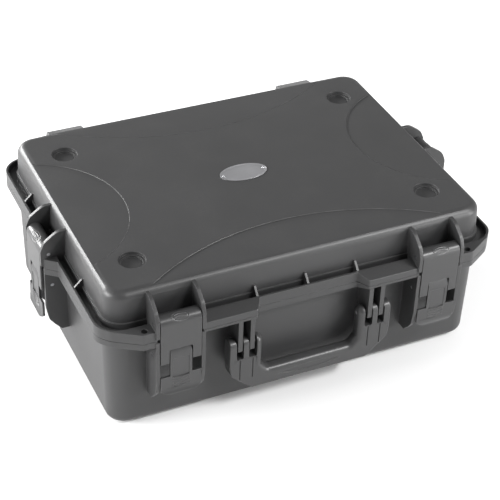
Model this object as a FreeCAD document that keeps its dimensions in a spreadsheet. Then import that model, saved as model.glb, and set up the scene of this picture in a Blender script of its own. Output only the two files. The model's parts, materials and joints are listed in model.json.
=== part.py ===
import FreeCAD, Part
import math
import os

import Sketcher
from FreeCAD import Placement, Rotation, Vector

# A hard drone carrying case, lying on its base. X runs along the front, -Y is the front, with the handle,
# +Y the hinges, and Z = 0 is the plane that the feet stand on. Lengths are in millimetres.

DRIVING_SIZES = [
    # alias, size, what it is
    ("half_length", 266.5, "middle of the case to the outside of its end wall at the rim"),
    ("half_width", 194.5, "middle of the case to the outside of its front wall at the rim"),
    ("corner_radius", 28, "upright corners of both shells"),
    ("wall", 4, "shell wall"),
    ("foot_height", 4, "gap under the base"),
    ("parting_z", 159, "top face of the base rim"),
    ("lid_top_z", 217.3, "top of the lid"),
    ("seam", 0.4, "gap between the two rims"),
    ("base_draft", 1.2, "lean of the base walls in degrees"),
    ("lid_draft", 2.3, "lean of the lid walls in degrees"),
    ("floor_fillet", 12, "edge between base wall and floor"),
    ("lid_fillet", 12, "edge between lid wall and top"),
    ("rim_reach", 13.7, "rim beyond the wall"),
    ("rim_drop", 9, "thickness of the base rim"),
    ("flange", 5.6, "thickness of the lid rim under its gutter"),
    ("lip_rise", 14.6, "top of the lid rim's lip above its underside"),
    ("lip_width", 3, "thickness of that lip"),
    ("ledge_width", 1.2, "bead along the foot of the lid wall"),
    ("apron_reach", 30.2, "wide part of the front rim beyond the wall"),
    ("apron_start", 69.2, "where the front rim starts to widen"),
    ("apron_end", 78.9, "where the front rim is at its full width"),
    ("apron_fall", 5, "slope of the wide part's faces"),
    ("rim_corner_radius", 32, "back corners of the rim"),
    ("bay_width", 56, "clear width between the two fins of a latch"),
    ("fin_thickness", 5, "latch fins"),
    ("latch_spacing", 365.4, "distance between the two front latches"),
    ("fin_bottom_z", 54, "lower end of the base fins"),
    ("latch_axis_out", 21.5, "latch hinge beyond the wall"),
    ("latch_axis_z", 180, "height of the latch hinge"),
    ("fin_past_axis", 11, "lid fins beyond the latch hinge"),
    ("front_fin_past_axis", 10, "front base fins beyond the latch hinge"),
    ("side_fin_past_axis", 7.1, "side base fins beyond the latch hinge"),
    ("barrel_radius", 11, "rolled top of a latch plate"),
    ("plate_thickness", 3.4, "latch plate"),
    ("plate_gap", 0.75, "latch plate to each fin"),
    ("plate_bottom_z", 120.6, "lower end of a latch plate"),
    ("notch_width", 31, "slot in a latch plate"),
    ("notch_top_z", 142.2, "top of that slot"),
    ("tongue_width", 29, "upper part of a latch lever"),
    ("tongue_top_z", 141, "top of a latch lever"),
    ("lever_shoulder_z", 99.5, "where a latch lever widens"),
    ("lever_bottom_z", 72, "lower end of a latch lever"),
    ("lever_past_axis", 4.5, "lever hinge further out than the latch hinge"),
    ("lever_axis_z", 135, "height of the lever hinge"),
    ("lever_barrel_radius", 4, "eye at the back of a lever"),
    ("keeper_behind_axis", 2.8, "keeper rod nearer the wall than the latch hinge"),
    ("keeper_z", 130, "height of the keeper rod"),
    ("latch_pin_radius", 2.5, "latch hinge pins and keeper rods"),
    ("lever_pin_radius", 1.5, "lever hinge pins"),
    ("running_gap", 0.05, "pin to the hole that it turns in"),
    ("fit_gap", 0.3, "loose pieces to what holds them"),
    ("padlock_x", 227.4, "padlock hole from the middle"),
    ("padlock_out", 22.2, "padlock hole beyond the wall"),
    ("padlock_radius", 4.3, "padlock hole"),
    ("flare_end_x", 232, "outer end of the straight front edge"),
    ("hinge_centre_x", 180, "middle of a hinge"),
    ("hinge_half_width", 33, "half of a hinge"),
    ("hinge_out", 27.5, "hinge axis beyond the wall"),
    ("hinge_z", 161, "height of the hinge axis"),
    ("hinge_knuckle_radius", 7.5, "hinge knuckles"),
    ("hinge_pin_radius", 2.5, "hinge pins"),
    ("hood_top_z", 207, "where a hinge hood meets the lid"),
    ("pocket_x", 210, "lid pockets and feet from the middle"),
    ("pocket_y", 130, "lid pockets and feet from the middle"),
    ("pocket_radius", 17.5, "lid pockets"),
    ("pocket_step", 4, "depth of a pocket's step"),
    ("pocket_depth", 6.5, "depth of a pocket's floor"),
    ("foot_radius", 15, "rubber feet"),
    ("foot_seat", 2, "depth that a foot sits in the base"),
    ("emboss_depth", 0.9, "step round the raised panel of the lid"),
    ("end_arc_centre", 304, "centre of the arcs at the lid's ends"),
    ("end_arc_radius", 131, "radius of those arcs"),
    ("long_arc_centre", 466, "centre of the arcs along the lid"),
    ("long_arc_radius", 347, "radius of those arcs"),
    ("plate_half_length", 34, "nameplate"),
    ("plate_half_height", 19, "nameplate"),
    ("nameplate_thickness", 1.6, "nameplate"),
    ("nameplate_seat", 1, "depth of the nameplate's recess"),
    ("gasket_in", 2.2, "gasket groove beyond the wall"),
    ("gasket_groove", 6, "width of the gasket groove"),
    ("gasket_depth", 4, "depth of the gasket groove"),
    ("handle_half_width", 115, "handle"),
    ("handle_bottom_z", 41.5, "lower edge of the hanging handle"),
    ("handle_out", 20.25, "handle hinge beyond the wall"),
    ("handle_z", 113, "height of the handle hinge"),
    ("handle_depth", 19.5, "thickness of the handle"),
    ("handle_pin_radius", 2.5, "handle hinge pins"),
    ("grip_top_z", 66, "top of the hand grip"),
    ("opening_half_width", 68.5, "hand opening"),
    ("foam_gap", 1, "foam to the shells"),
    ("pad_thickness", 15, "foam pad on the floor"),
    ("insert_top_z", 155, "top of the cut foam"),
    ("cut_depth", 105, "depth of the cuts in the foam"),
    ("lid_foam_bottom_z", 166, "underside of the lid foam"),
]

doc = FreeCAD.newDocument("carrying_case")
sheet = doc.addObject("Spreadsheet::Sheet", "dims")


class Size:
    """A length that knows both its value and the sheet expression that gives it."""

    def __init__(self, value, text):
        self.value = value
        self.text = text

    def __add__(self, other):
        other = size_of(other)
        return Size(self.value + other.value, f"({self.text} + {other.text})")

    def __sub__(self, other):
        other = size_of(other)
        return Size(self.value - other.value, f"({self.text} - {other.text})")

    def __mul__(self, other):
        other = size_of(other)
        return Size(self.value * other.value, f"({self.text} * {other.text})")

    def __truediv__(self, other):
        other = size_of(other)
        return Size(self.value / other.value, f"({self.text} / {other.text})")

    def __neg__(self):
        return Size(-self.value, f"(0 - {self.text})")

    def __radd__(self, other):
        return size_of(other) + self

    def __rsub__(self, other):
        return size_of(other) - self

    def __rmul__(self, other):
        return size_of(other) * self


def size_of(number):
    return number if isinstance(number, Size) else Size(float(number), f"({float(number)})")


class Sizes:
    """The sheet's cells as attributes."""


d = Sizes()
for row, (alias, number, _) in enumerate(DRIVING_SIZES, start=1):
    sheet.set(f"A{row}", alias)
    sheet.set(f"B{row}", str(number))
    sheet.setAlias(f"B{row}", alias)
    setattr(d, alias, Size(float(number), f"dims.{alias}"))
doc.recompute()

# Sizes that follow from the driving ones.
half_bay = d.bay_width / 2
latch_x = d.latch_spacing / 2
lid_z = d.parting_z + d.seam
lip_z = lid_z + d.lip_rise
gutter_z = lid_z + d.flange
floor_z = d.foot_height + d.wall
rim_x = d.half_length + d.rim_reach
rim_y = d.half_width + d.rim_reach
apron_y = d.half_width + d.apron_reach
handle_y = d.half_width + d.handle_out
plate_half_width = half_bay - d.plate_gap
lid_fin_reach = d.latch_axis_out + d.fin_past_axis
front_fin_reach = d.latch_axis_out + d.front_fin_past_axis
side_fin_reach = d.latch_axis_out + d.side_fin_past_axis
lever_axis_out = d.latch_axis_out + d.lever_past_axis
keeper_out = d.latch_axis_out - d.keeper_behind_axis
hinge_ear_end = d.hinge_half_width - d.fin_thickness - 0.6

# Small sizes that stay the same whatever the driving ones are.
INTO_WALL = 3.0  # how far outer features start inside the wall line; the cavity trims them
BAY_REACH = 13.0  # rim beyond the wall where a latch hangs over it
BAY_LIP_DROP = 4.0  # how far the lip is lowered behind a latch's rolled top
RIB_X, RIB_Y, RIB_WIDTH = 69.5, 104.0, 3.0  # ribs across the lid's gutter
HINGE_EAR_WIDTH = 16.0
HANDLE_SLOTS = ((9.3, 19.0), (26.5, 37.6))  # slots for the base's ears, in from an end of the handle
EAR_STARTS, EAR_WIDTH = (17.4, 34.0), 6.3  # those ears, their inner sides in from an end of the handle
EDGE_TO_NESTS, EDGE_TO_BATTERIES = 26.5, 34.5  # outside of the case to the cuts in the foam
DRONE_FROM_END = 171.5  # outside of the left wall to the middle of the drone's nest
DRONE_HALF, DRONE_ARM, DRONE_ARM_WIDTH, MOTOR_WELL = 62.0, 118.0, 34.0, 30.0
CONTROLLER_SIZE, CHARGER_SIZE, BATTERY_SIZE = (158.0, 118.0), (158.0, 64.0), (44.0, 98.0)
BATTERY_STEP, BATTERY_LIFT = 56.0, 25.0  # from battery to battery, and how much shallower their cuts are
NEST_GAP = 24.0  # foam between the controller and the charger
RIVET_X, RIVET_RADIUS = 29.0, 1.2
BOSS_END = 25.0  # outer side of a latch plate's lever bosses
LIP_HEIGHT, LIP_REACH = 8.0, 2.5  # finger lip along the lower end of a lever
RIDGE_HEIGHTS = (9.5, 14.0, 18.5, 23.0)  # finger ridges above the lever's lower end


# ---- building blocks -------------------------------------------------------------------------------------

def new_body(label):
    body = doc.addObject("PartDesign::Body", label)
    body.Label = label
    return body


def plane_of(body, role):
    return next(p for p in body.Origin.OriginFeatures if p.Role == role)


def new_sketch(body, role, offset=0.0):
    """A sketch on one of the body's own planes, moved along the plane's normal by offset."""
    sketch = body.newObject("Sketcher::SketchObject", "Sketch")
    sketch.AttachmentSupport = [(plane_of(body, role), "")]
    sketch.MapMode = "FlatFace"
    offset = size_of(offset)
    sketch.AttachmentOffset = Placement(Vector(0, 0, offset.value), Rotation())
    sketch.setExpression("AttachmentOffset.Base.z", offset.text)
    return sketch


def fix_point(sketch, geometry, end, x, y):
    for kind, size in (("DistanceX", x), ("DistanceY", y)):
        size = size_of(size)
        index = sketch.addConstraint(Sketcher.Constraint(kind, geometry, end, size.value))
        sketch.setExpression(f"Constraints[{index}]", size.text)


def fix_radius(sketch, geometry, size):
    size = size_of(size)
    index = sketch.addConstraint(Sketcher.Constraint("Radius", geometry, size.value))
    sketch.setExpression(f"Constraints[{index}]", size.text)


def circle(sketch, x, y, radius):
    x, y, radius = size_of(x), size_of(y), size_of(radius)
    ring = Part.Circle(Vector(x.value, y.value, 0), Vector(0, 0, 1), radius.value)
    index = sketch.addGeometry(ring, False)
    fix_point(sketch, index, 3, x, y)
    fix_radius(sketch, index, radius)


def outline(sketch, corners):
    """A closed outline through corners (x, y) or (x, y, radius), every number bound to the sheet."""
    points = [Vector(size_of(c[0]).value, size_of(c[1]).value, 0) for c in corners]
    count = len(corners)
    starts, ends, arcs = [None] * count, [None] * count, {}
    for i, corner in enumerate(corners):
        here, before, after = points[i], points[i - 1], points[(i + 1) % count]
        starts[i] = ends[i] = here
        if len(corner) == 3:
            radius = size_of(corner[2]).value
            to_before = (before - here).normalize()
            to_after = (after - here).normalize()
            half_angle = to_before.getAngle(to_after) / 2
            reach = radius / math.tan(half_angle)
            ends[i] = here + to_before * reach
            starts[i] = here + to_after * reach
            middle = here + (to_before + to_after).normalize() * (radius / math.sin(half_angle))
            turn = (to_before.cross(to_after)).z
            arcs[i] = (middle, radius, turn)
    lines = []
    for i in range(count):
        edge = Part.LineSegment(starts[i], ends[(i + 1) % count])
        lines.append(sketch.addGeometry(edge, False))
    for i, corner in enumerate(corners):
        before, after = lines[i - 1], lines[i]
        if i not in arcs:
            sketch.addConstraint(Sketcher.Constraint("Coincident", before, 2, after, 1))
            fix_point(sketch, after, 1, corner[0], corner[1])
            continue
        middle, radius, turn = arcs[i]
        first, last = ends[i] - middle, starts[i] - middle
        if turn > 0:
            first, last = last, first
        a0, a1 = math.atan2(first.y, first.x), math.atan2(last.y, last.x)
        ring = Part.Circle(middle, Vector(0, 0, 1), radius)
        arc = sketch.addGeometry(Part.ArcOfCircle(ring, a0, a1 if a1 > a0 else a1 + 2 * math.pi), False)
        knot = sketch.addGeometry(Part.Point(points[i]), True)
        fix_point(sketch, knot, 1, corner[0], corner[1])
        sketch.addConstraint(Sketcher.Constraint("PointOnObject", knot, 1, before))
        sketch.addConstraint(Sketcher.Constraint("PointOnObject", knot, 1, after))
        near, far = (2, 1) if turn > 0 else (1, 2)
        sketch.addConstraint(Sketcher.Constraint("Tangent", before, 2, arc, near))
        sketch.addConstraint(Sketcher.Constraint("Tangent", arc, far, after, 1))
        fix_radius(sketch, arc, corner[2])


def mirrored(half):
    """Both halves of an outline that starts and ends on the middle line X = 0 or beside it."""
    other = [(-size_of(c[0]), *c[1:]) for c in reversed(half)]
    return half + other


def rectangle(x0, y0, x1, y1, radius=None):
    corners = [(x0, y0), (x1, y0), (x1, y1), (x0, y1)]
    return corners if radius is None else [(x, y, radius) for x, y in corners]


def grow(body, sketch, length, backwards=False, taper=None, both_ways=False):
    """Pads a sketch along its plane's normal, or against it."""
    pad = body.newObject("PartDesign::Pad", "Pad")
    return set_up(body, pad, sketch, length, backwards, taper, both_ways)


def cut(body, sketch, length, along=False, taper=None, both_ways=False):
    """Pockets a sketch against its plane's normal, or along it."""
    pocket = body.newObject("PartDesign::Pocket", "Pocket")
    return set_up(body, pocket, sketch, length, along, taper, both_ways)


def set_up(body, feature, sketch, length, reverse, taper, both_ways):
    feature.Profile = sketch
    feature.Refine = False
    feature.setExpression("Length", size_of(length).text)
    feature.Reversed = reverse
    if both_ways:
        feature.SideType = "Symmetric"
    if taper is not None:
        feature.setExpression("TaperAngle", size_of(taper).text)
    sketch.Visibility = False
    doc.recompute()
    change = feature.Shape.Volume - (feature.BaseFeature.Shape.Volume if feature.BaseFeature else 0.0)
    grows = feature.TypeId == "PartDesign::Pad"
    if (change > 0) != grows or abs(change) < 1e-3:
        raise RuntimeError(f"{body.Label}: {feature.Name} changed the volume by {change:.1f}")
    return feature


def round_edges(body, radius, test):
    """Fillets the edges of the body's last feature for which test(edge) is true."""
    base = body.Tip
    names = [f"Edge{i}" for i, edge in enumerate(base.Shape.Edges, start=1) if test(edge)]
    fillet = body.newObject("PartDesign::Fillet", "Fillet")
    fillet.Base = (base, names)
    fillet.Refine = False
    fillet.setExpression("Radius", size_of(radius).text)
    doc.recompute()
    return fillet


def mirror_features(body, features, role):
    mirror = body.newObject("PartDesign::Mirrored", "Mirrored")
    mirror.Originals = features
    mirror.Refine = False
    mirror.MirrorPlane = (plane_of(body, role), [""])
    body.Tip = mirror
    doc.recompute()
    return mirror


def tidy(body):
    """Merges the faces that the features of a body left split."""
    body.Tip.Refine = True
    doc.recompute()
    return body


def at_height(z, lengthwise=0.0):
    """True for edges that lie level at height z and reach at least lengthwise along X."""
    z = size_of(z).value

    def test(edge):
        box = edge.BoundBox
        return abs(box.ZMin - z) < 0.05 and abs(box.ZMax - z) < 0.05 and box.XLength >= lengthwise

    return test


def drilled(body, role, offset, x, y, radius, length, along=False, both_ways=False):
    """A round hole from a plane of the body."""
    sketch = new_sketch(body, role, offset)
    circle(sketch, x, y, radius)
    return cut(body, sketch, length, along=along, both_ways=both_ways)


def rod(label, radius, length):
    """A straight pin along its own X axis, centred, with chamfered ends."""
    pin = new_body(label)
    sketch = new_sketch(pin, "YZ_Plane")
    circle(sketch, 0, 0, radius)
    grow(pin, sketch, length, both_ways=True)
    blank = pin.Tip
    ends = pin.newObject("PartDesign::Chamfer", "Chamfer")
    ends.Base = (blank, [f"Edge{i}" for i, edge in enumerate(blank.Shape.Edges, start=1) if edge.Closed])
    ends.Size = 0.4
    return pin


def place(piece, x, y, z, turn=0.0):
    """Puts a finished piece at x, y, z, turned about Z by a number of degrees."""
    x, y, z = size_of(x), size_of(y), size_of(z)
    piece.Placement = Placement(Vector(x.value, y.value, z.value), Rotation(Vector(0, 0, 1), turn))
    piece.setExpression("Placement.Base.x", x.text)
    piece.setExpression("Placement.Base.y", y.text)
    piece.setExpression("Placement.Base.z", z.text)
    return piece


# ---- the two shells --------------------------------------------------------------------------------------

def shell_outline(inset=0.0, radius=None):
    """Plan of the case wall, moved in by inset."""
    x, y = d.half_length - inset, d.half_width - inset
    return rectangle(-x, -y, x, y, d.corner_radius - inset if radius is None else radius)


def rim_outline():
    """Plan of either rim: it widens at the front beside the handle and round the padlock holes."""
    in_fin = d.fin_thickness / 2
    bay_in, bay_out = latch_x - half_bay - in_fin, latch_x + half_bay + in_fin
    bay_y, bay_x = d.half_width + BAY_REACH, d.half_length + BAY_REACH
    side = d.half_length + side_fin_reach
    fin = half_bay + d.fin_thickness
    return mirrored([
        (d.apron_start, -rim_y), (d.apron_end, -apron_y, 3), (bay_in, -apron_y), (bay_in, -bay_y),
        (bay_out, -bay_y), (bay_out, -apron_y), (d.flare_end_x, -apron_y, 10),
        (rim_x - 14, -rim_y + 4.7, 25), (rim_x, -rim_y + 21, 25),
        (rim_x, -fin - 12), (side, -fin), (side, -half_bay - in_fin), (bay_x, -half_bay - in_fin),
        (bay_x, half_bay + in_fin), (side, half_bay + in_fin), (side, fin), (rim_x, fin + 12),
        (rim_x, rim_y, d.rim_corner_radius),
    ])


def in_front(profile):
    """(outward, up) points of a profile on the front wall, as points of the YZ plane."""
    return [(-d.half_width - c[0], *c[1:]) for c in profile]


def at_back(profile):
    return [(d.half_width + c[0], *c[1:]) for c in profile]


def at_end(profile):
    """The same on the right end wall, as points of the XZ plane."""
    return [(d.half_length + c[0], *c[1:]) for c in profile]


def slab(body, role, offset, profile, thickness):
    """A plate of the given profile, from offset along the plane's normal."""
    sketch = new_sketch(body, role, offset)
    outline(sketch, profile)
    return grow(body, sketch, thickness)


def latch_fins(body, front_profile, side_profile):
    """The fins of one front latch and of one end latch."""
    fins = []
    for x in (latch_x - half_bay - d.fin_thickness, latch_x + half_bay):
        fins.append(slab(body, "YZ_Plane", x, in_front(front_profile), d.fin_thickness))
    for y in (half_bay, -half_bay - d.fin_thickness):
        fins.append(slab(body, "XZ_Plane", y, at_end(side_profile), d.fin_thickness))
    return fins


def latch_bores(body, outward, height):
    """Holes for a pin through the fins of one front latch and one end latch."""
    radius = d.latch_pin_radius + d.running_gap
    across = d.bay_width + 2 * d.fin_thickness
    front = drilled(body, "YZ_Plane", latch_x - across / 2 - 1, -d.half_width - outward, height, radius,
                    across + 2, along=True)
    end = drilled(body, "XZ_Plane", 0, d.half_length + outward, height, radius, across + 2, both_ways=True)
    return [front, end]


def hinge_bore(body):
    """The hole for one hinge pin, through every ear of the hinge."""
    start = d.hinge_centre_x - d.hinge_half_width - 7
    return drilled(body, "YZ_Plane", start, d.half_width + d.hinge_out, d.hinge_z,
                   d.hinge_pin_radius + d.running_gap, 2 * d.hinge_half_width + 14, along=True)


def base_fin(reach):
    top, bottom = d.parting_z - 2, d.fin_bottom_z
    return [(-INTO_WALL, top), (reach, top), (reach, bottom + 40, 40), (reach - 3.5, bottom + 20, 15),
            (reach - 11, bottom + 10), (reach - 20, bottom, 3), (-INTO_WALL - 2, bottom)]


def lid_fin():
    reach = lid_fin_reach
    return [(-9, d.lid_top_z - 4.8), (reach - 24.5, d.lid_top_z - 4.8, 18),
            (reach - 5.5, d.lid_top_z - 18.3, 14), (reach, d.lid_top_z - 31, 14), (reach, lid_z + 3.6),
            (BAY_REACH, lid_z), (-9, lid_z)]


def add_base_shell():
    body = new_body("base_shell")
    plan = new_sketch(body, "XY_Plane", d.parting_z)
    outline(plan, shell_outline())
    grow(body, plan, d.parting_z - d.foot_height, backwards=True, taper=-d.base_draft)
    round_edges(body, d.floor_fillet, at_height(d.foot_height))

    rim = new_sketch(body, "XY_Plane", d.parting_z)
    outline(rim, rim_outline())
    grow(body, rim, d.rim_drop, backwards=True)
    under = d.parting_z - d.rim_drop
    slope = new_sketch(body, "YZ_Plane")
    outline(slope, [(-rim_y, under), (-apron_y - 5, under + d.apron_fall * 1.3), (-apron_y - 5, under - 5),
                    (-rim_y, under - 5)])
    cut(body, slope, 2 * latch_x - d.bay_width - d.fin_thickness, both_ways=True)

    right = latch_fins(body, base_fin(front_fin_reach), base_fin(side_fin_reach))
    ear_bottom, ear_reach = d.handle_z - 8, d.handle_out + 8.75
    ear = [(-INTO_WALL, d.parting_z - 1), (ear_reach, d.parting_z - 1), (ear_reach, ear_bottom, 2),
           (d.handle_out - 10, ear_bottom, 2), (-INTO_WALL, ear_bottom + 12)]
    for start in EAR_STARTS:
        right.append(slab(body, "YZ_Plane", d.handle_half_width - start, in_front(ear), EAR_WIDTH))
    knuckle = d.hinge_knuckle_radius
    out, z = d.hinge_out, d.hinge_z
    arm = [(-INTO_WALL, z - 37), (out - 5.5, z - 15), (out + knuckle * 0.8, z - knuckle * 0.6),
           (out + knuckle * 0.97, z), (out - knuckle * 0.97, z), (out - knuckle * 0.97, d.parting_z - 0.5),
           (-INTO_WALL, d.parting_z - 0.5)]
    for x in (-hinge_ear_end, hinge_ear_end - HINGE_EAR_WIDTH):
        right.append(slab(body, "YZ_Plane", d.hinge_centre_x + x, at_back(arm), HINGE_EAR_WIDTH))
        disc = new_sketch(body, "YZ_Plane", d.hinge_centre_x + x)
        circle(disc, d.half_width + out, z, knuckle)
        right.append(grow(body, disc, HINGE_EAR_WIDTH))
    right += latch_bores(body, keeper_out, d.keeper_z)
    right.append(drilled(body, "YZ_Plane", d.handle_half_width - 55, -handle_y, d.handle_z,
                         d.handle_pin_radius + d.running_gap, 60, along=True))
    right.append(hinge_bore(body))
    mirror_features(body, right, "YZ_Plane")

    cavity = new_sketch(body, "XY_Plane", d.parting_z)
    outline(cavity, shell_outline(inset=d.wall))
    cut(body, cavity, d.parting_z - floor_z, taper=-d.base_draft)
    round_edges(body, d.floor_fillet - d.wall, at_height(floor_z))
    groove = new_sketch(body, "XY_Plane", d.parting_z)
    outline(groove, shell_outline(inset=-d.gasket_in - d.gasket_groove))
    outline(groove, shell_outline(inset=-d.gasket_in))
    cut(body, groove, d.gasket_depth)
    holes = new_sketch(body, "XY_Plane", d.parting_z)
    for x in (-d.padlock_x, d.padlock_x):
        circle(holes, x, -d.half_width - d.padlock_out, d.padlock_radius)
    cut(body, holes, d.rim_drop + 20)
    seats = new_sketch(body, "XY_Plane", d.foot_height)
    for x in (-d.pocket_x, d.pocket_x):
        for y in (-d.pocket_y, d.pocket_y):
            circle(seats, x, y, d.foot_radius + d.fit_gap)
    cut(body, seats, d.foot_seat, along=True)
    return tidy(body)


def add_lid_shell():
    body = new_body("lid_moulding")
    plan = new_sketch(body, "XY_Plane", lid_z)
    outline(plan, shell_outline())
    grow(body, plan, d.lid_top_z - lid_z, taper=-d.lid_draft)
    round_edges(body, d.lid_fillet, at_height(d.lid_top_z))

    rim = new_sketch(body, "XY_Plane", lid_z)
    outline(rim, rim_outline())
    grow(body, rim, d.lip_rise)
    gutter = new_sketch(body, "XY_Plane", lip_z)
    outline(gutter, shell_outline(inset=d.lip_width - d.rim_reach, radius=30))
    outline(gutter, shell_outline(inset=-d.ledge_width))
    cut(body, gutter, lip_z - gutter_z)
    slope = new_sketch(body, "YZ_Plane")
    outline(slope, [(-rim_y, lip_z), (-apron_y - 5, lip_z - d.apron_fall * 1.3), (-apron_y - 5, lip_z + 5),
                    (-rim_y, lip_z + 5)])
    cut(body, slope, 2 * latch_x - d.bay_width - d.fin_thickness, both_ways=True)

    right = []
    clear = new_sketch(body, "XY_Plane", lip_z)
    lip_in = d.rim_reach - d.lip_width - 1
    outline(clear, rectangle(latch_x - half_bay, -apron_y - 5, latch_x + half_bay, -d.half_width - lip_in))
    outline(clear, rectangle(d.half_length + lip_in, -half_bay, rim_x + 20, half_bay))
    right.append(cut(body, clear, BAY_LIP_DROP))
    right += latch_fins(body, lid_fin(), lid_fin())
    rib = [(-4, lip_z + 10), (d.ledge_width, lip_z + 10), (d.rim_reach - d.lip_width + 0.5, lip_z),
           (d.rim_reach - d.lip_width + 0.5, gutter_z - 1), (-4, gutter_z - 1)]
    right.append(slab(body, "YZ_Plane", RIB_X, in_front(rib), RIB_WIDTH))
    right.append(slab(body, "YZ_Plane", RIB_X, at_back(rib), RIB_WIDTH))
    for y in (-RIB_Y, RIB_Y - RIB_WIDTH):
        right.append(slab(body, "XZ_Plane", y, at_end(rib), RIB_WIDTH))
    out, z, knuckle = d.hinge_out, d.hinge_z, d.hinge_knuckle_radius
    brow = [(-9, d.hood_top_z), (8, d.hood_top_z - 2, 12), (22, d.hood_top_z - 11.5, 10)]
    fin = brow + [(out + knuckle, z + 15, 8), (out + knuckle, z), (out - knuckle, z), (out - 13, z + 4),
                  (-9, z + 4)]
    hood = brow + [(out + knuckle, z + 15, 8), (out + knuckle, z + 9), (out + 3.5, z + 9),
                   (out + 3.5, z + 14.5, 5), (20, d.hood_top_z - 16, 8), (7, d.hood_top_z - 7, 8),
                   (-9, d.hood_top_z - 5)]
    for x in (-d.hinge_half_width, d.hinge_half_width - d.fin_thickness):
        right.append(slab(body, "YZ_Plane", d.hinge_centre_x + x, at_back(fin), d.fin_thickness))
        disc = new_sketch(body, "YZ_Plane", d.hinge_centre_x + x)
        circle(disc, d.half_width + out, z, knuckle)
        right.append(grow(body, disc, d.fin_thickness))
    right.append(slab(body, "YZ_Plane", d.hinge_centre_x - d.hinge_half_width + 1, at_back(hood),
                      2 * d.hinge_half_width - 2))
    right += latch_bores(body, d.latch_axis_out, d.latch_axis_z)
    right.append(hinge_bore(body))
    mirror_features(body, right, "YZ_Plane")
    middle = new_sketch(body, "YZ_Plane")
    outline(middle, in_front(rib))
    grow(body, middle, RIB_WIDTH, both_ways=True)

    cavity = new_sketch(body, "XY_Plane", lid_z)
    outline(cavity, shell_outline(inset=d.wall))
    cut(body, cavity, d.lid_top_z - lid_z - d.wall, along=True, taper=-d.lid_draft)
    round_edges(body, d.lid_fillet - d.wall, at_height(d.lid_top_z - d.wall))
    bosses = new_sketch(body, "XY_Plane", d.lid_top_z - d.pocket_depth - 3)
    steps = new_sketch(body, "XY_Plane", d.lid_top_z)
    floors = new_sketch(body, "XY_Plane", d.lid_top_z)
    for x in (-d.pocket_x, d.pocket_x):
        for y in (-d.pocket_y, d.pocket_y):
            circle(bosses, x, y, d.pocket_radius + 3.5)
            circle(steps, x, y, d.pocket_radius)
            circle(floors, x, y, d.pocket_radius - 3.5)
    grow(body, bosses, d.pocket_depth)
    arcs = new_sketch(body, "XY_Plane", d.lid_top_z)
    for side in (-1, 1):
        circle(arcs, side * d.end_arc_centre, 0, d.end_arc_radius)
        circle(arcs, 0, side * d.long_arc_centre, d.long_arc_radius)
    cut(body, arcs, d.emboss_depth)
    cut(body, steps, d.pocket_step)
    cut(body, floors, d.pocket_depth)
    holes = new_sketch(body, "XY_Plane", lip_z)
    for x in (-d.padlock_x, d.padlock_x):
        circle(holes, x, -d.half_width - d.padlock_out, d.padlock_radius)
    cut(body, holes, d.lip_rise)
    tidy(body)

    recess = oval("nameplate_recess", d.fit_gap, d.nameplate_seat + 5)
    place(recess, 0, 0, d.lid_top_z - d.nameplate_seat)
    lid = doc.addObject("Part::Cut", "lid_shell")
    lid.Base = body
    lid.Tool = recess
    lid.Label = "lid_shell"
    doc.recompute()
    return lid


def oval(label, grow_by, height):
    """An elliptical plate standing on its own XY plane."""
    edge = doc.addObject("Part::Ellipse", f"{label}_edge")
    edge.setExpression("MajorRadius", (d.plate_half_length + grow_by).text)
    edge.setExpression("MinorRadius", (d.plate_half_height + grow_by).text)
    plate = doc.addObject("Part::Extrusion", label)
    plate.Base = edge
    plate.DirMode = "Custom"
    plate.Dir = Vector(0, 0, 1)
    plate.setExpression("LengthFwd", size_of(height).text)
    plate.Solid = True
    plate.Label = label
    doc.recompute()
    return plate


# ---- seal, foam, feet and nameplate ----------------------------------------------------------------------

def add_gasket():
    body = new_body("rim_gasket")
    sketch = new_sketch(body, "XY_Plane", d.parting_z - d.gasket_depth)
    outline(sketch, shell_outline(inset=-d.gasket_in - d.gasket_groove + d.fit_gap))
    outline(sketch, shell_outline(inset=-d.gasket_in - d.fit_gap))
    grow(body, sketch, d.gasket_depth + 0.1)
    return body


def foam_block(label, top, bottom):
    """A foam slab that follows the leaning walls of the base."""
    body = new_body(label)
    lean = math.tan(math.radians(d.base_draft.value))
    sketch = new_sketch(body, "XY_Plane", top)
    outline(sketch, shell_outline(inset=d.wall + d.foam_gap + (d.parting_z - top) * lean))
    grow(body, sketch, top - bottom, backwards=True, taper=-d.base_draft)
    return body


def add_foam_pad():
    body = foam_block("foam_floor_pad", floor_z + d.fit_gap + d.pad_thickness, floor_z + d.fit_gap)
    round_edges(body, d.floor_fillet - d.wall + 1, at_height(floor_z + d.fit_gap))
    return body


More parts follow.
